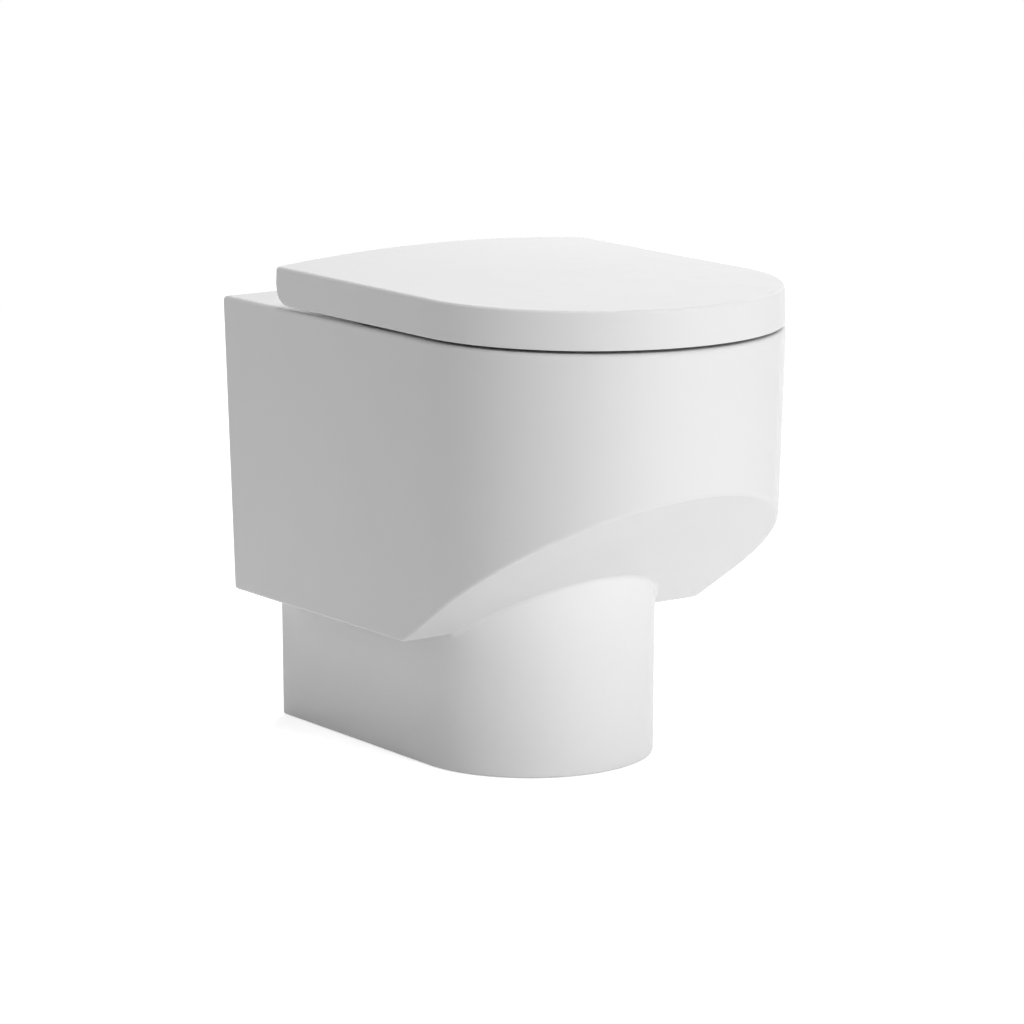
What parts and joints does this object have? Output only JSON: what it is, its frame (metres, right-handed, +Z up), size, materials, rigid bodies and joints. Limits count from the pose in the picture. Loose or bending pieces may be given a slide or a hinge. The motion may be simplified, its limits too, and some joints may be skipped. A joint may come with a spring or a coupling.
{
  "type": "back to wall toilet",
  "caption": "White D-shaped back to wall toilet pan on a narrower foot, with a hidden soft-close seat ring under a wrap-over lid.",
  "frame": {"origin": "floor level, under the middle of the pan's footprint", "axes": "+Z up, +Y towards the wall, -Y towards the front, X across"},
  "size_m": [0.37, 0.54, 0.478],
  "materials": {
    "ceramic": "gloss white glaze",
    "seat_plastic": "gloss white urea plastic",
    "white_plastic": "satin moulded",
    "grey_plastic": "satin moulded",
    "black_rubber": "matt rubber",
    "grey_rubber": "soft translucent rubber",
    "chrome": "polished plate",
    "steel": "zinc plated"
  },
  "bodies": {
    "pan_body": {"pan": "ceramic", "flush_distributor": "white_plastic", "inlet_seal": "black_rubber", "floor_sleeves": "white_plastic", "gasket_left": "black_rubber", "gasket_right": "black_rubber", "base_plate_left": "chrome", "base_plate_right": "chrome", "fixing_stud_left": "steel", "fixing_stud_right": "steel", "expanding_plug_left": "black_rubber", "expanding_plug_right": "black_rubber", "plug_nut_left": "steel", "plug_nut_right": "steel"},
    "hinge_carrier": {"hinge_post_left": "chrome", "hinge_post_right": "chrome", "hinge_pin_left": "steel", "hinge_pin_right": "steel"},
    "button_left": {"release_button_left": "grey_plastic"},
    "button_right": {"release_button_right": "grey_plastic"},
    "seat": {"seat_ring": "seat_plastic", "seat_buffers": "grey_rubber", "seat_damper": "grey_plastic", "seat_bush": "white_plastic"},
    "lid": {"lid": "seat_plastic", "lid_buffers": "grey_rubber", "lid_damper": "grey_plastic", "lid_bush": "white_plastic"}
  },
  "joints": [
    {"name": "seat_lift_off", "type": "slide", "parent": "pan_body", "child": "hinge_carrier", "axis": [0, 0, 1], "range_m": [0, 0.012]},
    {"name": "press_left", "type": "slide", "parent": "hinge_carrier", "child": "button_left", "axis": [0, 1, 0], "range_m": [0, 0.0025], "stiffness_N_per_m": 800},
    {"name": "press_right", "type": "slide", "parent": "hinge_carrier", "child": "button_right", "axis": [0, 1, 0], "range_m": [0, 0.0025], "stiffness_N_per_m": 800},
    {"name": "seat_hinge", "type": "hinge", "parent": "hinge_carrier", "child": "seat", "pos_m": [0, 0.156, 0.454], "axis": [1, 0, 0], "range_deg": [-95, 0]},
    {"name": "lid_hinge", "type": "hinge", "parent": "seat", "child": "lid", "pos_m": [0, 0.156, 0.454], "axis": [-1, 0, 0], "range_deg": [0, 95]}
  ]
}
